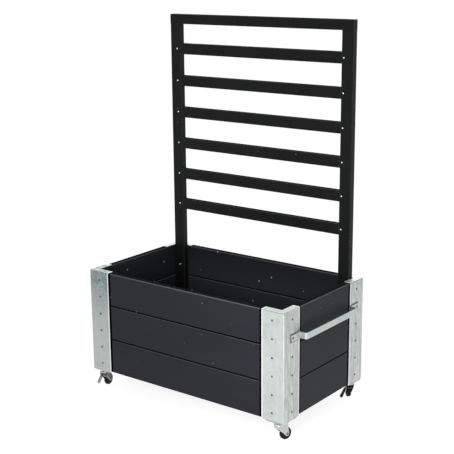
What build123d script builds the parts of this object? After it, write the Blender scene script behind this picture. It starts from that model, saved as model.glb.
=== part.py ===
from build123d import *
from math import cos, radians, sin
import os

# A planter box of stained boards on four swivel casters, with folded steel corners, a pull handle on
# one end and a timber trellis along the back. Millimetres. The origin is on the floor under the middle
# of the box, X runs along the box to the handle, Y to the trellis and Z up.

# Box and boards
box_length = 1000.0
box_depth = 580.0
board_thickness = 28.0
top_board_trim = 6.0
board_foot_gap = 6.5
board_chamfer = 3.0
tongue_thickness = 8.0
tongue_height = 7.0
tongue_clearance = 0.2

# Corner brackets
steel = 2.0
inner_bend = 2.0
bracket_height = 450.0
bracket_width = 104.0
sole_width = 84.0
sole_corner = 8.0

# Wood screws that hold the brackets and the handle
screw_inset = 55.0
screw_pair_gap = 74.0
screw_shank = 4.5
screw_hole = 5.0
screw_length = 26.0
screw_head = 10.0
screw_head_height = 2.6

# Handle
handle_width = 25.0
handle_thickness = 4.0
handle_standoff = 35.0
handle_foot_margin = 10.0
handle_leg_inset = 2.0
handle_bend = 5.0
handle_foot_corner = 4.0

# Floor
bearer_height = 45.0
bearer_thickness = 28.0
floor_thickness = 20.0
floor_board_count = 6
floor_drain_gap = 10.0
floor_end_gap = 1.0
floor_screw_length = 40.0
floor_screw_head = 9.0
floor_screw_cone = 2.5

# Trellis
trellis_rise = 1045.0
post_width = 53.0
post_depth = 28.0
post_side_gap = 6.0
top_rail_height = 42.0
top_gap = 83.0
rail_height = 47.0
rail_depth = 22.0
rail_pitch = 139.0
rail_count = 6
timber_chamfer = 1.5
tenon_length = 30.0
tenon_thickness = 10.0
tenon_shoulder = 8.0
pin_length = 24.0
pin_shank = 4.0
pin_head = 7.0
pin_head_height = 1.6
pin_inset_left = 18.0
pin_inset_right = 10.0
post_screw_drop = 90.0
post_screw_count = 2
post_screw_length = 50.0

# Casters
caster_inset = 36.0
plate_size = 60.0
plate_thickness = 2.5
plate_corner = 6.0
plate_boss_radius = 21.0
plate_boss_tip = 17.0
plate_boss_drop = 5.3
bolt_pitch = 44.0
bolt_shank = 5.0
bolt_hole = 5.5
bolt_head = 8.5
bolt_head_height = 3.2
nut_across_flats = 8.0
nut_height = 4.0
race_thickness = 2.0
race_radius = 17.0
race_gap = 0.1
kingpin_shank = 10.0
kingpin_head = 15.0
kingpin_head_height = 2.0
kingpin_foot_height = 4.0
kingpin_hole = 18.0
trail = 21.0
wheel_radius = 25.0
tyre_width = 18.0
tyre_thickness = 6.0
tyre_round = 4.5
hub_width = 22.0
hub_boss_radius = 8.5
hub_rim_thickness = 3.0
hub_web = 7.0
axle_radius = 3.0
axle_head_radius = 5.0
axle_head_height = 2.5
axle_head_chamfer = 1.2
running_gap = 0.06
side_gap = 0.3
fork_steel = 2.2
fork_head_width = 42.0
fork_head_corner = 20.5
crown_round = 4.0
crown_gap = 1.0
hood_height = 21.5
hood_nose = 30.0
hood_nose_corner = 10.0
hood_nose_lift = 7.5
hood_heel = 28.0
hood_heel_corner = 2.6
axle_boss_radius = 8.5
axle_boss_start = 220.0
cheek_lip = 1.6
cheek_lip_rise = 1.4
cheek_lip_stop = 0.92

# Brake levers on two of the casters
brake_pivot_lead = 4.0
brake_pivot_drop = 5.0
brake_pin_radius = 2.5
brake_tube_radius = 4.2
brake_steel = 2.5
brake_width = 20.0
pedal_gap = 0.5
pedal_eye = 7.0
pedal_reach = 34.0
pedal_level = 12.0
pedal_radius = 6.5
pedal_depth = 6.0
pedal_rim = 1.8
pedal_web = 2.0
shoe_gap = 0.4

# Swivel angle of each caster's trail, from +X
casters = {
    "front_left": (-1, -1, 103.0, True),
    "front_right": (1, -1, 75.0, False),
    "back_left": (-1, 1, 86.0, False),
    "back_right": (1, 1, 132.0, True),
}

# Levels and places that follow from the sizes above
hood_base = 2 * wheel_radius + crown_gap
fork_top = hood_base + hood_height
race_level = fork_top + race_gap
boss_level = race_level + race_thickness + race_gap
plate_level = boss_level + plate_boss_drop
bracket_base = plate_level + plate_thickness
bend_radius = inner_bend + steel
bracket_top = bracket_base + bracket_height
board_cover = bracket_height / 3
board_top = bracket_top - steel
upper_joint = board_top - board_cover + top_board_trim
lower_joint = upper_joint - board_cover
board_bottom = bracket_base + board_foot_gap
inner_x = box_length / 2 - steel - board_thickness
inner_y = box_depth / 2 - steel - board_thickness
cap_width = steel + board_thickness
floor_level = board_bottom + bearer_height + floor_thickness
trellis_top = bracket_top + trellis_rise
post_top = trellis_top - top_rail_height
post_front = inner_y - post_depth
post_outer = inner_x - post_side_gap
post_inner = post_outer - post_width
post_middle = post_outer - post_width / 2
post_xs = [-post_middle, post_middle]
post_face = Plane(origin=(0, post_front, 0), x_dir=(1, 0, 0), z_dir=(0, -1, 0))
post_screw_levels = [bracket_top - post_screw_drop - i * board_cover for i in range(post_screw_count)]
rail_levels = [post_top - top_gap - rail_height / 2 - i * rail_pitch for i in range(rail_count)]
tenon_y = post_front + rail_depth / 2
brake_pivot = (-brake_pivot_lead, hood_base - brake_pivot_drop)
bolt_length = plate_thickness + steel + nut_height
fork_width = hub_width + 2 * side_gap + 2 * fork_steel
cheek_lead = hood_nose - hood_nose_corner
cheek_heel = hood_heel - hood_heel_corner
pedal_start = fork_width / 2 + cheek_lip_rise + pedal_gap
screw_levels = [
    bracket_base + bracket_height / 2 + row * board_cover + side * screw_pair_gap / 2
    for row in (-1, 0, 1)
    for side in (-1, 1)
]
handle_level = sorted(screw_levels)[-2]

# Each wall's plane lies on the steel's outer face: x along the wall, y up from the floor, z outwards
walls = {
    "front": Plane(origin=(0, -box_depth / 2, 0), x_dir=(1, 0, 0), z_dir=(0, -1, 0)),
    "right": Plane(origin=(box_length / 2, 0, 0), x_dir=(0, 1, 0), z_dir=(1, 0, 0)),
    "back": Plane(origin=(0, box_depth / 2, 0), x_dir=(-1, 0, 0), z_dir=(0, 1, 0)),
    "left": Plane(origin=(-box_length / 2, 0, 0), x_dir=(0, -1, 0), z_dir=(-1, 0, 0)),
}
wall_half = {"front": box_length / 2, "right": box_depth / 2, "back": box_length / 2, "left": box_depth / 2}
board_half = {
    "front": box_length / 2 - bend_radius,
    "right": inner_y,
    "back": box_length / 2 - bend_radius,
    "left": inner_y,
}

os.makedirs("parts", exist_ok=True)


def save(piece, name):
    piece.part.label = name
    export_step(piece.part, f"parts/{name}.step")


def screw_points(wall, low, high):
    """Places on a wall's plane of the bracket screws between two levels."""
    reach = wall_half[wall] - screw_inset
    return [(side * reach, level) for level in screw_levels if low < level < high for side in (-1, 1)]


def wall_board(wall, low, high, has_tongue, has_groove):
    """One tongue and groove board of a wall, with pilot holes for the bracket screws."""
    face = walls[wall]
    section = Plane(origin=face.origin, x_dir=-face.z_dir, z_dir=face.x_dir)
    middle = steel + board_thickness / 2
    with BuildPart() as board:
        with BuildSketch(section) as profile:
            with Locations((middle, (low + high) / 2)):
                Rectangle(board_thickness, high - low)
            chamfer(profile.vertices(), board_chamfer)
            if has_tongue:
                with Locations((middle, high)):
                    Rectangle(tongue_thickness, 2 * tongue_height)
            if has_groove:
                with Locations((middle, low)):
                    Rectangle(
                        tongue_thickness + 2 * tongue_clearance,
                        2 * (tongue_height + tongue_clearance),
                        mode=Mode.SUBTRACT,
                    )
        extrude(amount=board_half[wall], both=True)
        with BuildSketch(face.offset(-steel)):
            with Locations(*screw_points(wall, low, high)):
                Circle(screw_shank / 2)
        extrude(amount=steel - screw_length, mode=Mode.SUBTRACT)
        post_points = [(x, z) for x in post_xs for z in post_screw_levels if low < z < high]
        if wall == "back" and post_points:
            with BuildSketch(post_face):
                with Locations(*post_points):
                    Circle(screw_shank / 2)
            extrude(amount=-post_screw_length, mode=Mode.SUBTRACT)
    return board


def corner_bracket(corner):
    """A corner folded from one sheet: two walls, a cap over the boards and a sole for the caster."""
    fold = Plane(origin=corner.origin + corner.x_dir * bend_radius, x_dir=corner.y_dir, z_dir=corner.x_dir)
    wall_a = Plane(origin=corner.origin, x_dir=corner.x_dir, z_dir=-corner.y_dir)
    wall_b = Plane(origin=corner.origin, x_dir=-corner.y_dir, z_dir=-corner.x_dir)
    lip = 2 * bend_radius
    with BuildPart() as bracket:
        with BuildSketch(corner.offset(bend_radius)):
            with BuildLine():
                bend = FilletPolyline((bracket_width, 0), (0, 0), (0, bracket_width), radius=bend_radius)
                offset(bend, amount=steel, side=Side.RIGHT)
            make_face()
        extrude(amount=bracket_height - 2 * bend_radius)
        # The cap is bent from the first wall and lies over the second one
        with BuildSketch(fold):
            with BuildLine():
                bend = FilletPolyline(
                    (0, bracket_height - lip), (0, bracket_height), (lip, bracket_height), radius=bend_radius
                )
                offset(bend, amount=steel, side=Side.RIGHT)
            make_face()
        extrude(amount=bracket_width - bend_radius)
        with BuildSketch(corner.offset(bracket_height - steel)):
            with Locations((0, bend_radius)):
                Rectangle(bracket_width, cap_width - bend_radius, align=Align.MIN)
                Rectangle(cap_width, bracket_width - bend_radius, align=Align.MIN)
        extrude(amount=steel)
        # The sole is bent from the foot of the same wall
        with BuildSketch(fold):
            with BuildLine():
                bend = FilletPolyline((0, lip), (0, 0), (lip, 0), radius=bend_radius)
                offset(bend, amount=steel, side=Side.LEFT)
            make_face()
        extrude(amount=sole_width - bend_radius)
        with BuildSketch(corner) as sole:
            with Locations((0, bend_radius)):
                Rectangle(sole_width, sole_width - bend_radius, align=Align.MIN)
            fillet(sole.vertices().group_by(Axis.X)[-1].sort_by(Axis.Y)[-1], sole_corner)
            with Locations((caster_inset, caster_inset)):
                Circle(kingpin_hole / 2, mode=Mode.SUBTRACT)
                with GridLocations(bolt_pitch, bolt_pitch, 2, 2):
                    Circle(bolt_hole / 2, mode=Mode.SUBTRACT)
        extrude(amount=steel)
        heights = [level - bracket_base for level in screw_levels]
        with BuildSketch(wall_a):
            with Locations(*[(screw_inset, height) for height in heights]):
                Circle(screw_hole / 2)
        extrude(amount=-bend_radius, mode=Mode.SUBTRACT)
        with BuildSketch(wall_b):
            with Locations(*[(-screw_inset, height) for height in heights]):
                Circle(screw_hole / 2)
        extrude(amount=-bend_radius, mode=Mode.SUBTRACT)
    return bracket


def pan_head_screw(head, head_height, shank, length):
    """A screw along Z with its head's seat at the origin and its shank below."""
    with BuildPart() as screw:
        with BuildSketch():
            Circle(head / 2)
        extrude(amount=head_height)
        with BuildSketch():
            Circle(shank / 2)
        extrude(amount=-length)
    return screw


def flat_head_screw(head, cone, shank, length):
    """A countersunk screw along Z with the top of its head at the origin."""
    with BuildPart() as screw:
        with BuildSketch(Plane.XZ):
            with BuildLine():
                Polyline(
                    (0, 0), (head / 2, 0), (shank / 2, -cone), (shank / 2, -length), (0, -length), close=True
                )
            make_face()
        revolve(axis=Axis.Z)
    return screw


def trellis_post(side, pin_inset):
    """One trellis post in a back corner, mortised for the rails and tenoned into the top rail."""
    centre = side * post_middle
    inner_face = side * post_inner
    with BuildPart() as post:
        with BuildSketch(Plane.XY.offset(floor_level)) as section:
            with Locations((centre, inner_y - post_depth / 2)):
                Rectangle(post_width, post_depth)
            chamfer(section.vertices(), timber_chamfer)
        extrude(amount=post_top - floor_level)
        with BuildSketch(Plane.XY.offset(post_top)):
            with Locations((centre, inner_y - post_depth / 2)):
                Rectangle(post_width - 2 * tenon_shoulder, tenon_thickness)
        extrude(amount=tenon_length)
        with BuildSketch(Plane.YZ.offset(inner_face)):
            with Locations(*[(tenon_y, level) for level in rail_levels]):
                Rectangle(tenon_thickness, rail_height - 2 * tenon_shoulder)
        extrude(amount=side * tenon_length, mode=Mode.SUBTRACT)
        with BuildSketch(post_face):
            with Locations(*[(inner_face + side * pin_inset, level) for level in rail_levels]):
                Circle(pin_shank / 2)
        extrude(amount=-pin_length, mode=Mode.SUBTRACT)
        with BuildSketch(post_face):
            with Locations(*[(centre, level) for level in post_screw_levels]):
                Circle(screw_shank / 2)
        extrude(amount=-post_depth, mode=Mode.SUBTRACT)
    return post


def trellis_rail(level):
    """One rail between the posts, with a tenon on each end that a pin locks."""
    pins = [-post_inner - pin_inset_left, post_inner + pin_inset_right]
    with BuildPart() as rail:
        with BuildSketch(Plane.YZ) as section:
            with Locations((tenon_y, level)):
                Rectangle(rail_depth, rail_height)
            chamfer(section.vertices(), timber_chamfer)
        extrude(amount=post_inner, both=True)
        with BuildSketch(Plane.YZ):
            with Locations((tenon_y, level)):
                Rectangle(tenon_thickness, rail_height - 2 * tenon_shoulder)
        extrude(amount=post_inner + tenon_length, both=True)
        with BuildSketch(post_face):
            with Locations(*[(pin, level) for pin in pins]):
                Circle(pin_shank / 2)
        extrude(amount=-post_depth, mode=Mode.SUBTRACT)
    return rail


def caster_planes(side_x, side_y, angle):
    """A caster's floor plane, with x along its trail, and its upright side plane through the trail."""
    origin = (side_x * (box_length / 2 - caster_inset), side_y * (box_depth / 2 - caster_inset), 0)
    along = (cos(radians(angle)), sin(radians(angle)), 0)
    across = (sin(radians(angle)), -cos(radians(angle)), 0)
    return Plane(origin=origin, x_dir=along), Plane(origin=origin, x_dir=along, z_dir=across)


def caster_plate(side_x, side_y):
    """The square top plate with the pressed boss of its swivel race."""
    seat = (side_x * (box_length / 2 - caster_inset), side_y * (box_depth / 2 - caster_inset), 0)
    base = Plane(origin=seat)
    with BuildPart() as plate:
        with BuildSketch(base.offset(plate_level)):
            RectangleRounded(plate_size, plate_size, plate_corner)
            with GridLocations(bolt_pitch, bolt_pitch, 2, 2):
                Circle(bolt_hole / 2, mode=Mode.SUBTRACT)
        extrude(amount=plate_thickness)
        with BuildSketch(base.offset(boss_level)):
            Circle(plate_boss_tip)
        with BuildSketch(base.offset(plate_level)):
            Circle(plate_boss_radius)
        loft()
        with BuildSketch(base.offset(boss_level)):
            Circle(kingpin_shank / 2)
        extrude(amount=plate_boss_drop + plate_thickness, mode=Mode.SUBTRACT)
    return plate


def caster_fork(base, side, braked):
    """The pressed fork: a hood drawn from a broad head to a narrow skirt, and two lipped cheeks."""
    with BuildPart() as fork:
        for wall, mode in ((0, Mode.ADD), (fork_steel, Mode.SUBTRACT)):
            for level, width, nose, heel in (
                (hood_base, fork_width, hood_nose_corner, hood_heel_corner),
                (fork_top - wall, fork_head_width, fork_head_corner, fork_head_corner),
            ):
                with BuildSketch(base.offset(level)) as section:
                    with Locations(((hood_heel - hood_nose) / 2, 0)):
                        Rectangle(hood_nose + hood_heel - 2 * wall, width - 2 * wall)
                    fillet(section.vertices().group_by(Axis.X)[0], nose - wall)
                    fillet(section.vertices().group_by(Axis.X)[-1], heel - wall)
            loft(mode=mode)
            if mode == Mode.ADD:
                fillet(fork.faces().sort_by(Axis.Z)[-1].edges(), crown_round)
        with BuildSketch(base.offset(hood_base)):
            Circle(kingpin_shank / 2 + running_gap)
        extrude(amount=hood_height, mode=Mode.SUBTRACT)
        # The rim of the nose rises in line with the leading edge of the cheeks
        with BuildSketch(side):
            with BuildLine():
                Polyline(
                    (-cheek_lead, hood_base),
                    (-hood_nose, hood_base + hood_nose_lift),
                    (-hood_nose, hood_base),
                    close=True,
                )
            make_face()
        extrude(amount=fork_head_width, both=True, mode=Mode.SUBTRACT)
        for inner_face, outer_face, lip in (
            (fork_width / 2 - fork_steel, fork_width / 2, cheek_lip_rise),
            (-fork_width / 2, -fork_width / 2, -cheek_lip_rise),
        ):
            with BuildSketch(side.offset(inner_face)):
                with BuildLine():
                    boss = CenterArc(
                        (trail, wheel_radius), axle_boss_radius, axle_boss_start, 360 - axle_boss_start
                    )
                    edge = TangentArc(boss @ 0, (-cheek_lead, hood_base), tangent=-(boss % 0))
                    Polyline(edge @ 1, (cheek_heel, hood_base), boss @ 1)
                make_face()
            extrude(amount=fork_steel)
            with BuildSketch(side.offset(outer_face)):
                with BuildLine():
                    add(edge.trim(0, cheek_lip_stop))
                trace(line_width=cheek_lip)
            extrude(amount=lip)
        with BuildSketch(side):
            with Locations((trail, wheel_radius)):
                Circle(axle_radius)
            if braked:
                with Locations(brake_pivot):
                    Circle(brake_pin_radius + running_gap)
        extrude(amount=fork_head_width, both=True, mode=Mode.SUBTRACT)
    return fork


def caster_axle(side):
    """A rivet through the cheeks, headed on both ends."""
    with BuildPart() as axle:
        with BuildSketch(side):
            with Locations((trail, wheel_radius)):
                Circle(axle_radius)
        extrude(amount=fork_width / 2, both=True)
        for outer_side, height in ((fork_width / 2, axle_head_height), (-fork_width / 2, -axle_head_height)):
            with BuildSketch(side.offset(outer_side)):
                with Locations((trail, wheel_radius)):
                    Circle(axle_head_radius)
            extrude(amount=height)
        heads = axle.faces().filter_by(Axis(side.origin, side.z_dir)).sort_by(Axis(side.origin, side.z_dir))
        chamfer([heads[0].edges()[0], heads[-1].edges()[0]], axle_head_chamfer)
    return axle


def wheel_hub(side):
    """The wheel's core: a bored boss, a thin web and the rim that carries the tyre."""
    rim_radius = wheel_radius - tyre_thickness
    with BuildPart() as hub:
        with BuildSketch(side):
            with Locations((trail, wheel_radius)):
                Circle(rim_radius)
        extrude(amount=tyre_width / 2, both=True)
        with BuildSketch(side):
            with Locations((trail, wheel_radius)):
                Circle(hub_boss_radius)
        extrude(amount=hub_width / 2, both=True)
        for start, depth in ((hub_web / 2, tyre_width), (-hub_web / 2, -tyre_width)):
            with BuildSketch(side.offset(start)):
                with Locations((trail, wheel_radius)):
                    Circle(rim_radius - hub_rim_thickness)
                    Circle(hub_boss_radius, mode=Mode.SUBTRACT)
            extrude(amount=depth, mode=Mode.SUBTRACT)
        with BuildSketch(side):
            with Locations((trail, wheel_radius)):
                Circle(axle_radius + running_gap)
        extrude(amount=hub_width, both=True, mode=Mode.SUBTRACT)
    return hub


def wheel_tyre(side):
    """The rubber tread ring with rounded shoulders."""
    with BuildPart() as tyre:
        with BuildSketch(side):
            with Locations((trail, wheel_radius)):
                Circle(wheel_radius)
                Circle(wheel_radius - tyre_thickness, mode=Mode.SUBTRACT)
        extrude(amount=tyre_width / 2, both=True)
        shoulders = tyre.edges().filter_by(GeomType.CIRCLE).group_by(SortBy.RADIUS)[-1]
        fillet(shoulders, tyre_round)
    return tyre


def brake_lever(side):
    """A shoe on a cross pin between the cheeks, with a channel-shaped pedal on the pin's outer end."""
    lead, level = brake_pivot
    to_wheel = Vector(trail - lead, wheel_radius - level)
    shoe = Vector(lead, level) + to_wheel.normalized() * (to_wheel.length - wheel_radius - shoe_gap)
    pedal = Plane(origin=side.from_local_coords((lead, 0, 0)), x_dir=-side.z_dir, z_dir=side.x_dir)
    with BuildPart() as lever:
        with BuildSketch(side):
            with BuildLine():
                Line((shoe.X, shoe.Y), brake_pivot)
            trace(line_width=brake_steel)
            with Locations(brake_pivot):
                Circle(brake_tube_radius)
        extrude(amount=brake_width / 2, both=True)
        # The pedal is a shallow channel: a rim all round and a web at the back
        for rim, web, mode in ((0, 0, Mode.ADD), (pedal_rim, pedal_web, Mode.SUBTRACT)):
            with BuildSketch(pedal.offset(pedal_depth / 2 - web)):
                with Locations((pedal_start + pedal_eye / 2, level)):
                    Rectangle(pedal_eye - 2 * rim, 2 * (brake_tube_radius - rim))
                with Locations((pedal_reach, pedal_level)):
                    Circle(pedal_radius - rim)
                make_hull()
            extrude(amount=-pedal_depth, mode=mode)
        with BuildSketch(side.offset(-pedal_start - pedal_eye)):
            with Locations(brake_pivot):
                Circle(brake_pin_radius)
        extrude(amount=pedal_start + pedal_eye + fork_width / 2 + fork_steel / 2)
    return lever


# Screws and pins, each made once and then placed
bracket_screw = pan_head_screw(screw_head, screw_head_height, screw_shank, screw_length)
post_screw = pan_head_screw(screw_head, screw_head_height, screw_shank, post_screw_length)
pin = pan_head_screw(pin_head, pin_head_height, pin_shank, pin_length)
floor_screw = flat_head_screw(floor_screw_head, floor_screw_cone, screw_shank, floor_screw_length)
caster_bolt = pan_head_screw(bolt_head, bolt_head_height, bolt_shank, bolt_length)

# Boards of the four walls
for wall in walls:
    save(wall_board(wall, upper_joint, board_top, False, True), f"{wall}_board_top")
    save(wall_board(wall, lower_joint, upper_joint, True, True), f"{wall}_board_middle")
    save(wall_board(wall, board_bottom, lower_joint, True, False), f"{wall}_board_bottom")

# Corner brackets, one part turned to each corner
half_x, half_y = box_length / 2, box_depth / 2
corners = {
    "front_left": Plane(origin=(-half_x, -half_y, bracket_base), x_dir=(1, 0, 0)),
    "front_right": Plane(origin=(half_x, -half_y, bracket_base), x_dir=(0, 1, 0)),
    "back_right": Plane(origin=(half_x, half_y, bracket_base), x_dir=(-1, 0, 0)),
    "back_left": Plane(origin=(-half_x, half_y, bracket_base), x_dir=(0, -1, 0)),
}
for place, corner in corners.items():
    save(corner_bracket(corner), f"corner_bracket_{place}")

# Bracket screws, seated on the brackets or, where the handle lies between, on its feet
screw_seats = []
for wall, face in walls.items():
    for reach, level in screw_points(wall, bracket_base, bracket_top):
        on_handle = wall == "right" and level == handle_level
        screw_seats.append(face.location * Pos(reach, level, handle_thickness if on_handle else 0))
with BuildPart() as bracket_screws:
    with Locations(*screw_seats):
        add(bracket_screw.part)
save(bracket_screws, "bracket_screws")

# Pull handle on the right end, one flat bar bent to a hat
leg = half_y - bracket_width - handle_leg_inset
foot_end = half_y - screw_inset + handle_foot_margin
grip = half_x + handle_standoff - handle_thickness
with BuildPart() as handle:
    with BuildSketch(Plane.XY.offset(handle_level - handle_width / 2)):
        with BuildLine():
            bar = FilletPolyline(
                (half_x, -foot_end),
                (half_x, -leg),
                (grip, -leg),
                (grip, leg),
                (half_x, leg),
                (half_x, foot_end),
                radius=handle_bend,
            )
            offset(bar, amount=handle_thickness, side=Side.RIGHT)
        make_face()
    extrude(amount=handle_width)
    ends = handle.edges().filter_by(Axis.X).sort_by(Axis.Y)
    fillet(ends[:2] + ends[-2:], handle_foot_corner)
    with BuildSketch(walls["right"]):
        with Locations((screw_inset - half_y, handle_level), (half_y - screw_inset, handle_level)):
            Circle(screw_hole / 2)
    extrude(amount=handle_thickness, mode=Mode.SUBTRACT)
save(handle, "pull_handle")

# Floor: two bearers along the long walls and boards across them
bearer_top = board_bottom + bearer_height
floor_pitch = (2 * inner_x - floor_drain_gap) / floor_board_count
floor_board_width = floor_pitch - floor_drain_gap
floor_xs = [(i - (floor_board_count - 1) / 2) * floor_pitch for i in range(floor_board_count)]
bearer_y = inner_y - bearer_thickness / 2
floor_seats = [Pos(x, side * bearer_y, floor_level) for x in floor_xs for side in (-1, 1)]
for side, name in ((-1, "front"), (1, "back")):
    with BuildPart() as bearer:
        with BuildSketch(Plane.XY.offset(board_bottom)):
            with Locations((0, side * bearer_y)):
                Rectangle(2 * inner_x, bearer_thickness)
        extrude(amount=bearer_height)
        with Locations(*floor_seats):
            add(floor_screw.part, mode=Mode.SUBTRACT)
    save(bearer, f"{name}_floor_bearer")
with BuildPart() as floor_boards:
    with BuildSketch(Plane.XY.offset(bearer_top)):
        with Locations(*[(x, 0) for x in floor_xs]):
            Rectangle(floor_board_width, 2 * (inner_y - floor_end_gap))
    extrude(amount=floor_thickness)
    with Locations(*floor_seats):
        add(floor_screw.part, mode=Mode.SUBTRACT)
save(floor_boards, "floor_boards")
with BuildPart() as floor_screws:
    with Locations(*floor_seats):
        add(floor_screw.part)
save(floor_screws, "floor_screws")

# Trellis
save(trellis_post(-1, pin_inset_left), "trellis_post_left")
save(trellis_post(1, pin_inset_right), "trellis_post_right")
for number, level in enumerate(rail_levels, start=1):
    save(trellis_rail(level), f"trellis_rail_{number}")
with BuildPart() as top_rail:
    with BuildSketch(Plane.YZ) as section:
        with Locations((inner_y - post_depth / 2, trellis_top - top_rail_height / 2)):
            Rectangle(post_depth, top_rail_height)
        chamfer(section.vertices(), timber_chamfer)
    extrude(amount=post_outer, both=True)
    with BuildSketch(Plane.XY.offset(post_top)):
        with GridLocations(2 * post_middle, 0, 2, 1):
            with Locations((0, inner_y - post_depth / 2)):
                Rectangle(post_width - 2 * tenon_shoulder, tenon_thickness)
    extrude(amount=tenon_length, mode=Mode.SUBTRACT)
save(top_rail, "trellis_top_rail")
pin_seats = [
    post_face.location * Pos(x, level, 0)
    for level in rail_levels
    for x in (-post_inner - pin_inset_left, post_inner + pin_inset_right)
]
with BuildPart() as rail_pins:
    with Locations(*pin_seats):
        add(pin.part)
save(rail_pins, "trellis_rail_pins")
with BuildPart() as post_screws:
    with Locations(*[post_face.location * Pos(x, z, 0) for x in post_xs for z in post_screw_levels]):
        add(post_screw.part)
save(post_screws, "trellis_post_screws")

# Casters
caster_seats = []
for place, (side_x, side_y, angle, braked) in casters.items():
    base, side = caster_planes(side_x, side_y, angle)
    caster_seats.append((base.origin.X, base.origin.Y))
    save(caster_plate(side_x, side_y), f"caster_plate_{place}")
    save(caster_fork(base, side, braked), f"caster_fork_{place}")
    save(caster_axle(side), f"caster_axle_{place}")
    save(wheel_hub(side), f"wheel_hub_{place}")
    save(wheel_tyre(side), f"wheel_tyre_{place}")
    if braked:
        save(brake_lever(side), f"brake_lever_{place}")

with BuildPart() as kingpins:
    with BuildSketch(Plane.XY.offset(fork_top - fork_steel - race_gap - kingpin_foot_height)):
        with Locations(*caster_seats):
            Circle(kingpin_head / 2)
    extrude(amount=kingpin_foot_height)
    with BuildSketch(Plane.XY.offset(fork_top - fork_steel - race_gap)):
        with Locations(*caster_seats):
            Circle(kingpin_shank / 2)
    extrude(amount=bracket_base - fork_top + fork_steel + race_gap)
    with BuildSketch(Plane.XY.offset(bracket_base)):
        with Locations(*caster_seats):
            Circle(kingpin_head / 2)
    extrude(amount=kingpin_head_height)
save(kingpins, "caster_kingpins")
with BuildPart() as races:
    with BuildSketch(Plane.XY.offset(race_level)):
        with Locations(*caster_seats):
            Circle(race_radius)
            Circle(kingpin_shank / 2 + running_gap, mode=Mode.SUBTRACT)
    extrude(amount=race_thickness)
save(races, "swivel_race_rings")

bolt_seats = [
    Pos(x + sx * bolt_pitch / 2, y + sy * bolt_pitch / 2, plate_level) * Rot(180, 0, 0)
    for x, y in caster_seats
    for sx in (-1, 1)
    for sy in (-1, 1)
]
with BuildPart() as caster_bolts:
    with Locations(*bolt_seats):
        add(caster_bolt.part)
save(caster_bolts, "caster_bolts")
with BuildPart() as caster_nuts:
    with BuildSketch(Plane.XY.offset(bracket_base + steel)):
        with Locations(*caster_seats):
            with GridLocations(bolt_pitch, bolt_pitch, 2, 2):
                RegularPolygon(nut_across_flats / 2, 6, major_radius=False)
                Circle(bolt_shank / 2, mode=Mode.SUBTRACT)
    extrude(amount=nut_height)
save(caster_nuts, "caster_nuts")
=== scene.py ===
# %% [markdown]
# # A planter box on casters, dressed for a studio picture
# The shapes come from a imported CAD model: boards, folded steel corners, a handle, a trellis and four
# casters. This lesson gives those shapes their finishes, adds the domed heads of the screws and pins,
# and lights the whole with soft light. Every length is in metres. The origin is on the floor under the
# middle of the box, with X towards the handle and Y towards the trellis.

# %% Load the frame
import math
import random

import bmesh
import bpy
from mathutils import Matrix, Vector


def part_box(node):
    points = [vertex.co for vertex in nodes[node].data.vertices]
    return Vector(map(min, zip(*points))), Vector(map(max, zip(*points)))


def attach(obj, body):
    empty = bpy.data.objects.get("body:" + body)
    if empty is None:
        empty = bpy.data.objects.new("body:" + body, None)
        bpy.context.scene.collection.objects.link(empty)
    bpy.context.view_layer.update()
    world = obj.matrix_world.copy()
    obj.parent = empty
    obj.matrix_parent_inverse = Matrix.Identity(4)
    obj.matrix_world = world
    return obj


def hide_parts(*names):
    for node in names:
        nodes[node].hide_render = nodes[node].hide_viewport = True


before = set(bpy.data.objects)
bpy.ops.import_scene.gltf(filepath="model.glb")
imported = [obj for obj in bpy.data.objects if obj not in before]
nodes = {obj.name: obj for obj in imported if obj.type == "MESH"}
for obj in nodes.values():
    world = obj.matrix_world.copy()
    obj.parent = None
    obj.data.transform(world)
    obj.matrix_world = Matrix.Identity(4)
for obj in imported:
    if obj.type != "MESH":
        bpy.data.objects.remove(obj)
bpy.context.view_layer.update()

# %% [markdown]
# ## The camera
# The camera looks from the front right, from a little above the trellis's top. Its place, its turn and
# its lens were worked out from the edges of the brackets, boards, posts, rails and wheels, so the picture
# lines up with the real view. A Track To constraint could aim it at a point, but it keeps the camera
# level, and the real view has a slight roll. A camera looks along its own -Z, so its matrix is built
# from three directions: to the right, up, and backwards.

# %% Camera
camera_place = Vector((2.612, -3.404, 1.812))
camera_turn = math.radians(37.34)
camera_dip = math.radians(14.14)
camera_roll = math.radians(-0.48)
picture_width = 454
focal_pixels = 1067.4

ahead = Vector((
    -math.sin(camera_turn) * math.cos(camera_dip),
    math.cos(camera_turn) * math.cos(camera_dip),
    -math.sin(camera_dip),
))
level_right = Vector((math.cos(camera_turn), math.sin(camera_turn), 0))
level_up = level_right.cross(ahead)
right = level_right * math.cos(camera_roll) + level_up * math.sin(camera_roll)
up = level_up * math.cos(camera_roll) - level_right * math.sin(camera_roll)

camera_data = bpy.data.cameras.new("studio_camera")
camera_data.sensor_width = 36.0
camera_data.lens = camera_data.sensor_width * focal_pixels / picture_width
camera_data.clip_end = 200.0
camera = bpy.data.objects.new("studio_camera", camera_data)
camera_axes = Matrix((right, up, -ahead)).transposed().to_4x4()
camera.matrix_world = Matrix.Translation(camera_place) @ camera_axes
bpy.context.scene.collection.objects.link(camera)
bpy.context.scene.camera = camera
print("lens:", round(camera_data.lens, 2), "mm")

# %% [markdown]
# ## Small helpers for node trees
# A material is a tree of nodes. Writing each link by hand makes long code, so a few helpers keep it
# short. The first two add a node and fill its inputs: a value that is itself a socket is linked, and
# any other value is typed in. The rest do one step each, on numbers, vectors, colours or noise.


# %% Nodes and their inputs
def feed(tree, socket, value):
    """Links a socket to another one, or types a plain value into it."""
    if isinstance(value, bpy.types.NodeSocket):
        tree.links.new(value, socket)
    else:
        socket.default_value = value


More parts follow.
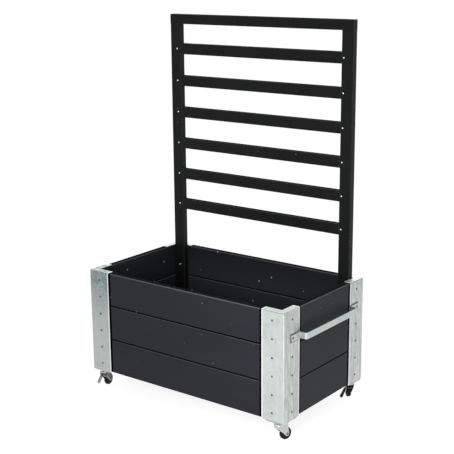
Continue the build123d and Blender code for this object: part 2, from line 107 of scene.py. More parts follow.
def add_node(tree, kind, inputs=None, **settings):
    """Adds a node, sets its options and fills its inputs by name."""
    made = tree.nodes.new(kind)
    for option, value in settings.items():
        setattr(made, option, value)
    for name, value in (inputs or {}).items():
        feed(tree, made.inputs[name], value)
    return made


# %% Steps on numbers
def calc(tree, operation, *values):
    """One step of arithmetic on values or sockets."""
    made = add_node(tree, "ShaderNodeMath", operation=operation)
    for socket, value in zip(made.inputs, values):
        feed(tree, socket, value)
    return made.outputs[0]


def times_plus(tree, value, times, plus):
    """A value multiplied by one number and raised by another."""
    return calc(tree, "MULTIPLY_ADD", value, times, plus)


def weighted_sum(tree, *shares, start=0.0):
    """Adds pairs of a value and its weight to a start."""
    total = start
    for value, weight in shares:
        total = calc(tree, "MULTIPLY_ADD", value, weight, total)
    return total


def product(tree, first, *others):
    """All of the values multiplied with each other."""
    for other in others:
        first = calc(tree, "MULTIPLY", first, other)
    return first


def largest(tree, first, *others):
    """The largest of the values."""
    for other in others:
        first = calc(tree, "MAXIMUM", first, other)
    return first


def apart(tree, first, second):
    """How far two values are apart, without a sign."""
    return calc(tree, "ABSOLUTE", calc(tree, "SUBTRACT", first, second))


def ramp(tree, value, start, end):
    """A smooth step from 0 at the start to 1 at the end; the end may be the lower of the two."""
    made = add_node(tree, "ShaderNodeMapRange", {"Value": value, "From Min": start, "From Max": end})
    made.interpolation_type = "SMOOTHSTEP"
    return made.outputs["Result"]


# %% Steps on vectors, colours and noise
def vector_calc(tree, operation, first, second):
    """One step of arithmetic on two vectors; a dot product comes out as a number."""
    made = add_node(tree, "ShaderNodeVectorMath", operation=operation)
    feed(tree, made.inputs[0], first)
    feed(tree, made.inputs[1], second)
    return made.outputs["Value" if operation == "DOT_PRODUCT" else "Vector"]


def scaled(tree, vector, scale):
    """The vector with each of its three parts multiplied."""
    return vector_calc(tree, "MULTIPLY", vector, scale)


def split(tree, vector):
    """The X, Y and Z of a vector."""
    return add_node(tree, "ShaderNodeSeparateXYZ", {"Vector": vector}).outputs


def joined(tree, x, y, z):
    """A vector of three numbers."""
    return add_node(tree, "ShaderNodeCombineXYZ", {"X": x, "Y": y, "Z": z}).outputs[0]


def mix_colour(tree, factor, first, second):
    """Goes from the first colour to the second as the factor goes from 0 to 1."""
    made = add_node(tree, "ShaderNodeMix", data_type="RGBA")
    # The node has sockets of one name for each kind of value, so those for colours are found by number.
    for number, value in ((0, factor), (6, first), (7, second)):
        feed(tree, made.inputs[number], value)
    return made.outputs[2]


def noise(tree, vector, scale=1.0, detail=2.0, roughness=0.5):
    """The grey value of a noise texture, about 0.5 on average."""
    inputs = {"Vector": vector, "Scale": scale, "Detail": detail, "Roughness": roughness}
    return add_node(tree, "ShaderNodeTexNoise", inputs).outputs["Fac"]


# %% Groups and materials
def new_group(name, inputs, outputs):
    """A shader node group with named inputs and outputs."""
    tree = bpy.data.node_groups.new(name, "ShaderNodeTree")
    for label, kind, value in inputs:
        socket = tree.interface.new_socket(label, in_out="INPUT", socket_type="NodeSocket" + kind)
        if value is not None:
            socket.default_value = value
    for label, kind in outputs:
        tree.interface.new_socket(label, in_out="OUTPUT", socket_type="NodeSocket" + kind)
    given = tree.nodes.new("NodeGroupInput")
    result = tree.nodes.new("NodeGroupOutput")
    return tree, given.outputs, result.inputs


def use_group(tree, group, **inputs):
    """Places a group in a tree and fills its inputs; an underscore stands for a space."""
    made = add_node(tree, "ShaderNodeGroup", node_tree=group)
    for name, value in inputs.items():
        feed(tree, made.inputs[name.replace("_", " ")], value)
    return made.outputs


def new_material(name):
    """An empty material with a Principled BSDF, and the coordinates of its surface."""
    made = bpy.data.materials.new(name)
    made.use_nodes = True
    tree = made.node_tree
    tree.nodes.clear()
    shader = tree.nodes.new("ShaderNodeBsdfPrincipled")
    output = tree.nodes.new("ShaderNodeOutputMaterial")
    tree.links.new(shader.outputs[0], output.inputs["Surface"])
    surface = tree.nodes.new("ShaderNodeTexCoord").outputs
    return made, tree, shader.inputs, surface


def add_bump(tree, shader, strength, distance, height, normal=None):
    """Lets a height map tilt the shader's normal, on top of another normal if there is one."""
    bump = add_node(tree, "ShaderNodeBump", {"Strength": strength, "Distance": distance, "Height": height})
    if normal is not None:
        feed(tree, bump.inputs["Normal"], normal)
    feed(tree, shader["Normal"], bump.outputs[0])


# %% [markdown]
# ## Floor and light
# Product pictures of this kind are taken in a white tent. The world gives the even light, and a square
# softbox stands at the front right, a little higher than the box, so the box's right corner is the
# brightest and the light falls off to the left. A weak sun from behind keeps the back readable. A white
# world alone would light everything, but it would flatten the boards. The floor is grey paper for the
# light that spreads, and glows for the camera and for mirrors, so it looks white and still shows the
# soft shadow under the box. The view transform is Standard, so that a colour comes out as it is written.

# %% The white tent
bpy.context.scene.view_settings.view_transform = "Standard"
tent_light = 0.285
white = (1, 1, 1, 1)


def seen_directly(tree):
    """1 for what the camera, a mirror or a glass sees, 0 for light that only spreads."""
    path = tree.nodes.new("ShaderNodeLightPath").outputs
    return largest(tree, path["Is Camera Ray"], path["Is Glossy Ray"], path["Is Transmission Ray"])


world = bpy.data.worlds.new("white_tent")
bpy.context.scene.world = world
world.use_nodes = True
tree = world.node_tree
tree.nodes.clear()
strength = times_plus(tree, seen_directly(tree), times=1.0 - tent_light, plus=tent_light)
background = add_node(tree, "ShaderNodeBackground", {"Color": white, "Strength": strength})
tree.links.new(background.outputs[0], tree.nodes.new("ShaderNodeOutputWorld").inputs["Surface"])
print("world:", world.name, "light:", tent_light)

# %% The paper floor
floor_reach = 60.0
floor_grey = (0.40, 0.40, 0.40, 1)
floor_glow = 0.86

floor_bm = bmesh.new()
bmesh.ops.create_grid(floor_bm, x_segments=1, y_segments=1, size=floor_reach)
floor_mesh = bpy.data.meshes.new("studio_floor")
floor_bm.to_mesh(floor_mesh)
floor_bm.free()
floor = bpy.data.objects.new("studio_floor", floor_mesh)
bpy.context.scene.collection.objects.link(floor)

floor_paper = bpy.data.materials.new("studio_paper")
floor_paper.use_nodes = True
tree = floor_paper.node_tree
tree.nodes.clear()
matt = add_node(tree, "ShaderNodeBsdfDiffuse", {"Color": floor_grey})
glow_strength = product(tree, seen_directly(tree), floor_glow)
glow = add_node(tree, "ShaderNodeEmission", {"Color": white, "Strength": glow_strength})
both = tree.nodes.new("ShaderNodeAddShader")
tree.links.new(matt.outputs[0], both.inputs[0])
tree.links.new(glow.outputs[0], both.inputs[1])
tree.links.new(both.outputs[0], tree.nodes.new("ShaderNodeOutputMaterial").inputs["Surface"])
floor_mesh.materials.append(floor_paper)
print("floor:", floor.name, 2 * floor_reach, "m wide")


# %% Lamps
def hang_lamp(name, kind, place, aim, energy):
    """A lamp that shines from its place towards a point, and that the camera doesn't see."""
    data = bpy.data.lights.new(name, kind)
    data.energy = energy
    made = bpy.data.objects.new(name, data)
    made.location = place
    made.rotation_euler = (place - aim).to_track_quat("Z", "Y").to_euler()
    made.visible_camera = False
    bpy.context.scene.collection.objects.link(made)
    return data


softbox_place, softbox_aim = Vector((0.95, -1.50, 0.80)), Vector((0.30, -0.2, 0.35))
softbox = hang_lamp("front_softbox", "AREA", softbox_place, softbox_aim, energy=19.5)
softbox.shape = "SQUARE"
softbox.size = 0.9
fill_place, fill_aim = Vector((-2.0, 3.0, 2.5)), Vector((0, 0, 0.4))
back_fill = hang_lamp("back_fill", "SUN", fill_place, fill_aim, energy=0.8)
back_fill.angle = math.radians(60)
print("lamps:", [lamp.name for lamp in bpy.data.lights])

# %% [markdown]
# ## Timber grain
# Sawn softwood shows growth rings as bands, fine fibres along its length and broad lighter and darker
# figure. A wave texture could draw the bands, but its lines are too even. Here a sine runs across the
# board, a slow noise bends it and a finer one makes it wander. The board's length lies along the
# vector's X, and each board's number jumps to another place in the pattern, so no two boards match.

# %% Group for timber grain
grain_group, given, result = new_group(
    "timber_grain",
    [("Along Grain", "Vector", None), ("Board", "Float", 0.0), ("Ring Pitch", "Float", 0.006)],
    [("Rings", "Float"), ("Fibre", "Float"), ("Figure", "Float")],
)
tree = grain_group
board_jump = (3.17, 0.31, 0.43)
ring_slope_y, ring_slope_z = 0.55, 0.83
sway_reach, wander_reach = 0.09, 0.012
sway_stretch, wander_stretch = (1.1, 7.0, 7.0), (5.0, 60.0, 60.0)
fibre_stretch, figure_stretch = (11.0, 330.0, 330.0), (1.5, 11.0, 11.0)
ring_sharpness = 2.0

jump = joined(tree, *(product(tree, given["Board"], step) for step in board_jump))
here = vector_calc(tree, "ADD", given["Along Grain"], jump)
parts = split(tree, here)
sway = noise(tree, scaled(tree, here, sway_stretch), detail=1.0)
wander = noise(tree, scaled(tree, here, wander_stretch), detail=2.0)
across = weighted_sum(
    tree,
    (parts["Y"], ring_slope_y),
    (parts["Z"], ring_slope_z),
    (sway, sway_reach),
    (wander, wander_reach),
)
turns = calc(tree, "DIVIDE", across, given["Ring Pitch"])
wave = calc(tree, "SINE", product(tree, turns, 2 * math.pi))
rings = calc(tree, "POWER", times_plus(tree, wave, times=0.5, plus=0.5), ring_sharpness)
tree.links.new(rings, result["Rings"])
tree.links.new(noise(tree, scaled(tree, here, fibre_stretch), detail=3.0), result["Fibre"])
tree.links.new(noise(tree, scaled(tree, here, figure_stretch), detail=3.0), result["Figure"])
print(grain_group.name, len(grain_group.nodes), "nodes")

# %% [markdown]
# ## Rubbed edges
# Edges lose their finish first. Curvature stored on the mesh could find them, but the CAD meshes stay
# as they are, so the Bevel node does it: where its rounded normal leaves the true one, an edge is near.
# A noise spares some stretches, and Evenness is the wear that those get all the same. The rounded normal
# goes out as well, because it takes the knife-edge look off a machined shape.

# %% Group for rubbed edges
edge_group, given, result = new_group(
    "rubbed_edges",
    [
        ("Vector", "Vector", None),
        ("Radius", "Float", 0.002),
        ("Patchiness", "Float", 60.0),
        ("Evenness", "Float", 0.0),
    ],
    [("Mask", "Float"), ("Normal", "Vector")],
)
tree = edge_group
departure_range, patch_range = (0.004, 0.08), (0.35, 0.62)

rounded = add_node(tree, "ShaderNodeBevel", {"Radius": given["Radius"]}, samples=6).outputs[0]
true_normal = tree.nodes.new("ShaderNodeNewGeometry").outputs["Normal"]
likeness = vector_calc(tree, "DOT_PRODUCT", rounded, true_normal)
departure = ramp(tree, calc(tree, "SUBTRACT", 1.0, likeness), *departure_range)
patches = ramp(tree, noise(tree, given["Vector"], given["Patchiness"], detail=3.0), *patch_range)
patches = largest(tree, patches, given["Evenness"])
tree.links.new(product(tree, departure, patches), result["Mask"])
tree.links.new(rounded, result["Normal"])
print(edge_group.name, len(edge_group.nodes), "nodes")

# %% [markdown]
# ## Specks and spangle
# Specks of dust or filler and the crystals of set zinc are both made of cells. A Voronoi texture grows
# cells around scattered points, and a fine noise that shoves its coordinates makes their borders
# ragged. A speck is the middle of a cell, kept only where the cell's lot is below a share. Spangle, the
# pattern that zinc forms when it sets on hot steel, gives each whole cell its own tone. It comes with
# the clouds, runs and blotches that lie over the crystals.


# %% Groups for specks and spangle
def ragged_cells(tree, vector, spacing, noise_scale, reach):
    """Voronoi cells with ragged borders: the distance from a cell's middle, and the cell's lot."""
    drift = add_node(tree, "ShaderNodeTexNoise", {"Vector": vector, "Scale": noise_scale, "Detail": 2.0})
    shove = scaled(tree, drift.outputs["Color"], (reach, reach, reach))
    cells = add_node(tree, "ShaderNodeTexVoronoi", {"Vector": vector_calc(tree, "ADD", vector, shove)})
    feed(tree, cells.inputs["Scale"], calc(tree, "DIVIDE", 1.0, spacing))
    colours = add_node(tree, "ShaderNodeSeparateColor", {"Color": cells.outputs["Color"]}).outputs
    return cells.outputs["Distance"], colours["Red"]


speck_group, given, result = new_group(
    "specks",
    [
        ("Vector", "Vector", None),
        ("Spacing", "Float", 0.04),
        ("Size", "Float", 0.05),
        ("Share", "Float", 0.3),
    ],
    [("Mask", "Float")],
)
tree = speck_group
distance, lot = ragged_cells(tree, given["Vector"], given["Spacing"], noise_scale=220.0, reach=0.004)
near = calc(tree, "LESS_THAN", distance, given["Size"])
picked = calc(tree, "LESS_THAN", lot, given["Share"])
tree.links.new(product(tree, near, picked), result["Mask"])

spangle_group, given, result = new_group(
    "spangle",
    [("Vector", "Vector", None), ("Crystal", "Float", 0.014)],
    [("Tone", "Float"), ("Cloud", "Float"), ("Runs", "Float"), ("Blotch", "Float")],
)
tree = spangle_group
run_stretch, blotch_stretch = (90.0, 90.0, 4.0), (60.0, 60.0, 26.0)
tone = ragged_cells(tree, given["Vector"], given["Crystal"], noise_scale=130.0, reach=0.012)[1]
cloud = noise(tree, given["Vector"], scale=9.0, detail=4.0, roughness=0.6)
runs = noise(tree, scaled(tree, given["Vector"], run_stretch), detail=3.0)
blotch = noise(tree, scaled(tree, given["Vector"], blotch_stretch), detail=4.0, roughness=0.65)
for label, value in (("Tone", tone), ("Cloud", cloud), ("Runs", runs), ("Blotch", blotch)):
    tree.links.new(value, result[label])
print("node groups:", [group.name for group in bpy.data.node_groups])

# %% [markdown]
# ## Boards and their grain
# The box's walls are three boards high, the trellis has six rails between two posts and one on top, and
# the floor is made of planks on two bearers. Grain runs along a board, and no two boards are cut alike,
# so each gets a number from its place. The places of the joints could be typed in, but they are read from
# the CAD nodes, so that they still fit if a size changes.

# %% Measures of the box and the trellis
rail_count, floor_plank_count = 6, 6
bracket_low, bracket_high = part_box("corner_bracket_front_left")
half_length, half_depth = -bracket_low.x, -bracket_low.y
bracket_edge_x, bracket_edge_y = -bracket_high.x, -bracket_high.y
lower_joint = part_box("front_board_middle")[0].z
upper_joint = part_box("front_board_top")[0].z
board_cover = upper_joint - lower_joint
board_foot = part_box("front_board_bottom")[0].z
board_face_x, board_face_y = -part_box("left_board_top")[0].x, -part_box("front_board_top")[0].y
rail_boxes = [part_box(f"trellis_rail_{i}") for i in range(1, rail_count + 1)]
rail_levels = [(low.z + high.z) / 2 for low, high in rail_boxes]
rail_pitch = rail_levels[0] - rail_levels[1]
floor_low, floor_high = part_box("floor_boards")
plank_pitch = (floor_high.x - floor_low.x) / floor_plank_count
print("joints:", round(lower_joint, 4), round(upper_joint, 4))
print("rails:", [round(level, 4) for level in rail_levels])

# %% Grain that follows the boards
grain_orders = {"x": ("X", "Y", "Z"), "y": ("Y", "X", "Z"), "z": ("Z", "X", "Y")}
ring_pitch = 0.0065


def board_grain(tree, parts, along, numbered):
    """The grain of boards that run along one axis and are numbered by their place on another."""
    lined = joined(tree, *(parts[axis] for axis in grain_orders[along]))
    number_axis, first_place, pitch = numbered
    steps = calc(tree, "DIVIDE", calc(tree, "SUBTRACT", parts[number_axis], first_place), pitch)
    number = calc(tree, "FLOOR", steps)
    return use_group(tree, grain_group, Along_Grain=lined, Board=number, Ring_Pitch=ring_pitch)


# %% [markdown]
# ## Dirt, painted shade and painted highlights on the walls
# Black dirt lies in the joints. Beside the steel corners and along the lowest edge the same black is painted
# shade. Chamfers that look up carry a painted highlight, strongest along the outer rim and, inside, along
# the lower joints. Such marks could be painted as vertex colours, but the CAD meshes stay as they are, and
# a measured distance puts each mark just where boards and steel meet.

# %% Dirt, painted shade and painted highlights on the walls
joint_starts, joint_ends = (-0.0012, -0.0002), (0.0045, 0.0075)
beside_steel, on_outer_face = (0.0125, 0.0085), (0.004, 0.001)
along_foot = (board_foot + 0.0048, board_foot + 0.0030)
inside_depth = (0.010, 0.018)
near_rim = (upper_joint + 0.05, upper_joint + 0.10)


def wall_dirt_and_shade(tree, parts, depth, steel_axis, steel_edge):
    """1 for dirt in the joints, and for painted shade beside the steel corners and along the lowest edge."""
    dirt_and_shade = ramp(tree, parts["Z"], *along_foot)
    for level in (lower_joint, upper_joint):
        above = calc(tree, "SUBTRACT", parts["Z"], level)
        line = calc(tree, "SUBTRACT", ramp(tree, above, *joint_starts), ramp(tree, above, *joint_ends))
        dirt_and_shade = largest(tree, dirt_and_shade, line)
    gap = apart(tree, calc(tree, "ABSOLUTE", parts[steel_axis]), steel_edge)
    line = product(tree, ramp(tree, gap, *beside_steel), ramp(tree, depth, *on_outer_face))
    return largest(tree, dirt_and_shade, line)


def wall_marks(tree, parts, wall):
    """A wall's inside, its dirt and painted shade and its chamfers' painted highlight, from the places of
    its steel's edge and its face.
    """
    steel_axis, steel_edge, face_axis, face_place = wall
    depth = calc(tree, "SUBTRACT", face_place, calc(tree, "ABSOLUTE", parts[face_axis]))
    inner = ramp(tree, depth, *inside_depth)
    highlight_spread = apart(tree, ramp(tree, parts["Z"], *near_rim), inner)
    chamfer_highlight = times_plus(tree, highlight_spread, times=0.5, plus=0.35)
    return inner, wall_dirt_and_shade(tree, parts, depth, steel_axis, steel_edge), chamfer_highlight


# %% [markdown]
# ## Stained timber
# The boards are planed softwood under a charcoal stain that hides most of the grain and leaves a dull
# skin, and the trellis carries a blacker coat. One flat dark colour would look like plastic, so the grain
# mixes two close tones. Rubbed edges show grey, chamfers that look up carry a painted highlight, dust lies
# low inside the long walls, and pale specks are scattered over all, most of them inside. One function
# makes the finish for each direction in which a board can run. Dirt and painted shade get a high Metallic,
# and so do the top faces: a dark metal reflects almost nothing, so they stay dark, which on the top faces
# is painted shade.

# %% Stained timber
rubbed_grey, chamfer_highlight_grey = (0.17, 0.175, 0.18, 1), (0.15, 0.155, 0.16, 1)
dust_grey, speck_white = (0.052, 0.055, 0.062, 1), (0.80, 0.80, 0.79, 1)
dirt_and_shade_black = (0.0012, 0.0012, 0.0013, 1)
skin_tint = (0.3, 0.3, 0.3, 1)
looks_up, leans_up = (0.78, 0.95), (0.3, 0.6)
low_inside = (upper_joint + 0.13, upper_joint - 0.01)
rubbed_share, top_shade_share, plain_chamfer_highlight = 0.40, 0.9, 0.4


def timber_skin(tree, shader, grain, edges, top_face, dirt_and_shade, roughness, shine):
    """The roughness, reflections and relief of a stained timber."""
    shares = ((grain["Fibre"], 0.16), (grain["Rings"], -0.05), (top_face, 0.35))
    rough = weighted_sum(tree, *shares, start=roughness)
    feed(tree, shader["Roughness"], calc(tree, "MINIMUM", rough, 1.0))
    # Dirt, painted shade and the top faces get a high Metallic; on the top faces it takes the reflection
    # away as painted shade.
    feed(tree, shader["Metallic"], largest(tree, dirt_and_shade, product(tree, top_face, top_shade_share)))
    shader["Specular IOR Level"].default_value = shine
    shader["Specular Tint"].default_value = skin_tint
    height = weighted_sum(tree, (grain["Rings"], 0.2), start=grain["Fibre"])
    add_bump(tree, shader, strength=0.35, distance=0.0006, height=height, normal=edges["Normal"])


def stained_timber(name, along, stain, numbered, roughness, shine, wall=None, soil=0.0):
    """A stained timber; a wall of the box has its own marks, and soil says how dusty its inside is."""
    made, tree, shader, surface = new_material(name)
    place = surface["Object"]
    parts = split(tree, place)
    grain = board_grain(tree, parts, along, numbered)
    edges = use_group(tree, edge_group, Vector=place, Radius=0.0030, Patchiness=45.0, Evenness=0.45)
    upward = split(tree, surface["Normal"])["Z"]
    top_face = ramp(tree, upward, *looks_up)
    chamfer = calc(tree, "SUBTRACT", ramp(tree, upward, *leans_up), top_face)
    inner, dirt_and_shade, chamfer_highlight = wall_marks(tree, parts, wall) if wall else (0.0, 0.0, plain_chamfer_highlight)

    blend = weighted_sum(tree, (grain["Figure"], 0.72), (grain["Rings"], 0.08), (grain["Fibre"], 0.30))
    colour = mix_colour(tree, blend, *stain)
    colour = mix_colour(tree, product(tree, edges["Mask"], rubbed_share), colour, rubbed_grey)
    if soil:
        dusty = product(tree, inner, soil, ramp(tree, parts["Z"], *low_inside))
        colour = mix_colour(tree, dusty, colour, dust_grey)
    # Chamfers that look up get a painted highlight.
    colour = mix_colour(tree, product(tree, chamfer, chamfer_highlight), colour, chamfer_highlight_grey)
    # Black dirt in the joints; beside the steel corners and along the lowest edge the black is painted
    # shade.
    colour = mix_colour(tree, dirt_and_shade, colour, dirt_and_shade_black)
    size = times_plus(tree, inner, times=0.030, plus=0.048)
    share = times_plus(tree, inner, times=0.60, plus=0.35)
    specks = use_group(tree, speck_group, Vector=place, Spacing=0.05, Size=size, Share=share)
    pale = times_plus(tree, inner, times=0.50, plus=0.30)
    colour = mix_colour(tree, product(tree, specks["Mask"], pale), colour, speck_white)
    feed(tree, shader["Base Color"], colour)
    timber_skin(tree, shader, grain, edges, top_face, dirt_and_shade, roughness, shine)
    return made


# %% The timbers of this planter
charcoal = ((0.0118, 0.0140, 0.0176, 1), (0.0256, 0.0295, 0.0352, 1))
grey_charcoal = ((0.0118, 0.0140, 0.0162, 1), (0.0256, 0.0295, 0.0328, 1))
black = ((0.0040, 0.0043, 0.0046, 1), (0.0125, 0.0132, 0.0136, 1))
by_course = ("Z", lower_joint, board_cover)
by_rail = ("Z", rail_levels[-1] - rail_pitch / 2, rail_pitch)
by_plank = ("X", floor_low.x, plank_pitch)
left_or_right, front_or_back = ("X", 0.0, 1.0), ("Y", 0.0, 1.0)
long_wall = ("X", bracket_edge_x, "Y", board_face_y)
end_wall = ("Y", bracket_edge_y, "X", board_face_x)
planed = {"roughness": 0.52, "shine": 0.40}
coated = {"roughness": 0.52, "shine": 0.32}
sawn = {"roughness": 0.55, "shine": 0.40}

timbers = {
    "long_boards": stained_timber(
        "stain_long_boards", "x", charcoal, by_course, **planed, wall=long_wall, soil=0.9
    ),
    "end_boards": stained_timber("stain_end_boards", "y", grey_charcoal, by_course, **planed, wall=end_wall),
    "rails": stained_timber("stain_rails", "x", black, by_rail, **coated),
    "posts": stained_timber("stain_posts", "z", black, left_or_right, **coated),
    "planks": stained_timber("stain_planks", "y", charcoal, by_plank, **sawn),
    "bearers": stained_timber("stain_bearers", "x", charcoal, front_or_back, **sawn),
}
print("timber finishes:", sorted(timbers))

# %% [markdown]
# ## Galvanised sheet and bar
# The corners are folded from sheet that was dipped in zinc. A plain grey metal would look like foil, so
# each crystal of the spangle has a tone, clouds and runs lie over them, and on the faces that look along X
# water has left dark streaks and pale blotches. Folds and cut edges are bright, partly rubbed zinc and
# partly a painted highlight, and a painted shadow draws a line round the handle's feet. The sheets differ
# in tone and in a grey-green bloom that thickens towards the top, partly as zinc dulls unevenly and partly
# as painted shade: the front left one is the darkest and has the most bloom. The handle bar was dipped too,
# but its crystals are finer and it has no cut edges to show.

# %% Zinc's tones, bloom and painted shade, with a painted shadow
zinc_dull, zinc_bright = (0.500, 0.545, 0.530), (0.700, 0.745, 0.730)
zinc_pale = (0.815, 0.825, 0.775, 1)
streak_fade = (0.735, 0.72, 0.685)
cloud_range, run_streaks = (0.30, 0.70), (0.62, 0.36)
blotch_streaks, pale_blotches = (0.54, 0.30), (0.48, 0.72)
streak_gain, blotch_gain = 1.3, 1.1
bloom_and_shade_levels = (0.27, 0.50)
handle_low, handle_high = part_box("pull_handle")
handle_middle, handle_half = (handle_low.z + handle_high.z) / 2, (handle_high.z - handle_low.z) / 2
foot_outline = (0.0075, 0.0035)
end_face_skin = (half_length - 0.0015, half_length - 0.0005)


def zinc_tones(tree, zinc, end_face, tone, runs):
    """Crystals, clouds and runs, with streaks and blotches on the faces that look along X."""
    dull, bright = (tuple(part * tone for part in shade) + (1,) for shade in (zinc_dull, zinc_bright))
    streaked = tuple(part * fade for part, fade in zip(dull, streak_fade)) + (1,)
    cloud = ramp(tree, zinc["Cloud"], *cloud_range)
    blend = weighted_sum(tree, (zinc["Tone"], 0.26), (cloud, 0.30), (zinc["Runs"], runs))
    colour = mix_colour(tree, blend, dull, bright)
    wet_blotches = ramp(tree, zinc["Blotch"], *blotch_streaks)
    streaks = largest(tree, ramp(tree, zinc["Runs"], *run_streaks), wet_blotches)
    colour = mix_colour(tree, product(tree, streaks, end_face, runs * streak_gain), colour, streaked)
    blotches = ramp(tree, zinc["Blotch"], *pale_blotches)
    return mix_colour(tree, product(tree, blotches, end_face, runs * blotch_gain), colour, zinc_pale)


def zinc_bloom_and_shade(tree, zinc, level, bloom_and_shade):
    """How much bloom and painted shade cover the zinc at a level, uneven from cloud to cloud and crystal to
    crystal.
    """
    cloudy_level = calc(tree, "ADD", level, times_plus(tree, zinc["Cloud"], times=0.22, plus=-0.11))
    crystals = times_plus(tree, zinc["Tone"], times=0.9, plus=0.45)
    return product(tree, ramp(tree, cloudy_level, *bloom_and_shade_levels), bloom_and_shade, crystals)


def handle_foot_shadow(tree, parts):
    """1 on the handle's end of the box, behind the handle's feet and a few millimetres round them, where a
    painted shadow lies.
    """
    across = calc(tree, "SUBTRACT", calc(tree, "ABSOLUTE", parts["Y"]), handle_high.y)
    upright = calc(tree, "SUBTRACT", apart(tree, parts["Z"], handle_middle), handle_half)
    near = ramp(tree, largest(tree, across, upright), *foot_outline)
    return product(tree, near, ramp(tree, parts["X"], *end_face_skin))


# %% Galvanised steel
bloom_and_shade_green, foot_shadow_grey = (0.215, 0.265, 0.258, 1), (0.06, 0.062, 0.062, 1)
rubbed_and_highlit_zinc, dot_grey = (0.93, 0.95, 0.94, 1), (0.25, 0.26, 0.26, 1)
looks_along_x = (0.3, 0.8)
cut_edge_width = (0.0060, 0.0025)
foot_shadow_share, rubbed_and_highlit_share, dot_share = 0.8, 0.85, 0.35


def galvanised(name, crystal, tone, roughness, bloom_and_shade, runs, cut_edges=None):
    """Zinc-dipped steel; a sheet has a painted highlight on its cut edges and a painted shadow round the
    handle's feet as well.
    """
    made, tree, shader, surface = new_material(name)
    place = surface["Object"]
    parts = split(tree, place)
    zinc = use_group(tree, spangle_group, Vector=place, Crystal=crystal)
    edges = use_group(tree, edge_group, Vector=place, Radius=0.0020, Patchiness=80.0, Evenness=0.5)
    dots = use_group(tree, speck_group, Vector=place, Spacing=0.02, Size=0.05, Share=0.25)
    facing_x = calc(tree, "ABSOLUTE", split(tree, surface["Normal"])["X"])
    end_face = ramp(tree, facing_x, *looks_along_x)

    colour = zinc_tones(tree, zinc, end_face, tone, runs)
    # Bloom greens and darkens the zinc towards the top, partly as painted shade.
    colour = mix_colour(tree, zinc_bloom_and_shade(tree, zinc, parts["Z"], bloom_and_shade), colour, bloom_and_shade_green)
    # Folds and edges are rubbed bright, and a painted highlight lies along the cut edges.
    rubbed_and_highlit = edges["Mask"]
    if cut_edges:
        # A painted shadow round the handle's feet.
        foot_shadow = product(tree, handle_foot_shadow(tree, parts), foot_shadow_share)
        colour = mix_colour(tree, foot_shadow, colour, foot_shadow_grey)
        for axis, edge in cut_edges.items():
            inset = calc(tree, "SUBTRACT", calc(tree, "ABSOLUTE", parts[axis]), edge)
            rubbed_and_highlit = largest(tree, rubbed_and_highlit, ramp(tree, inset, *cut_edge_width))
    colour = mix_colour(tree, product(tree, rubbed_and_highlit, rubbed_and_highlit_share), colour, rubbed_and_highlit_zinc)
    colour = mix_colour(tree, product(tree, dots["Mask"], dot_share), colour, dot_grey)
    feed(tree, shader["Base Color"], colour)
    shader["Metallic"].default_value = 1.0
    rough = weighted_sum(tree, (zinc["Tone"], 0.10), (zinc["Cloud"], 0.12), start=roughness)
    feed(tree, shader["Roughness"], rough)
    add_bump(tree, shader, strength=0.12, distance=0.0004, height=zinc["Tone"])
    return made


# %% The zinc of this planter
# Each sheet's tone and bloom; the darker left sheets, the front left most of all, are partly painted shade.
sheet_tones_and_shade = {
    "front_left": {"tone": 0.73, "bloom_and_shade": 0.82},
    "front_right": {"tone": 0.90, "bloom_and_shade": 0.0},
    "back_right": {"tone": 0.91, "bloom_and_shade": 0.05},
    "back_left": {"tone": 0.82, "bloom_and_shade": 0.35},
}
sheet = {"crystal": 0.013, "roughness": 0.36, "runs": 0.46}
sheet_edges = {"X": bracket_edge_x, "Y": bracket_edge_y}
sheets = {
    corner: galvanised(f"galvanised_sheet_{corner}", **sheet, **sheet_look, cut_edges=sheet_edges)
    for corner, sheet_look in sheet_tones_and_shade.items()
}
bar = {"crystal": 0.006, "roughness": 0.30, "runs": 0.10}
bar_steel = galvanised("galvanised_bar", **bar, tone=0.90, bloom_and_shade=0.0)
print("galvanised finishes:", sorted(sheets), bar_steel.name)

# %% [markdown]
# ## Zinc-plated pressings
# Forks, plates, levers, screws and pins are plated, which is smoother than dipped zinc and shows fine
# drawing marks. Faces that don't look up may take a darker colour, a painted shade: it is light on the
# plain casters and dark on the two with a brake. The lip along each cheek of a fork gets a painted
# highlight. Painting lips by hand would need UV maps, so they are found by measuring: a lip stands further
# from the fork's middle plane than the cheek does, and lies below the hood. The screw heads are dark grey,
# a painted shade.

# %% Plated steel
lip_highlight_white, rubbed_zinc = (0.95, 0.95, 0.95, 1), (0.88, 0.88, 0.88, 1)
side_shade_to_top = (0.15, 0.60)
lip_rise = (0.0001, 0.0005)
noise_span = (0.3, 0.7)
mark_stretch = (900.0, 900.0, 120.0)
cheek_half_width = 0.0135
hood_clearance = 0.0005
hood_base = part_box("wheel_tyre_front_right")[1].z + hood_clearance


def fork_lips(tree, parts, centre, turn):
    """1 where a fork at a place and a turn stands out past its cheeks, below its hood."""
    from_x = calc(tree, "SUBTRACT", parts["X"], centre.x)
    from_y = calc(tree, "SUBTRACT", parts["Y"], centre.y)
    sideways = weighted_sum(tree, (from_x, -math.sin(turn)), (from_y, math.cos(turn)))
    proud = calc(tree, "SUBTRACT", calc(tree, "ABSOLUTE", sideways), cheek_half_width)
    return product(tree, ramp(tree, proud, *lip_rise), calc(tree, "LESS_THAN", parts["Z"], hood_base))


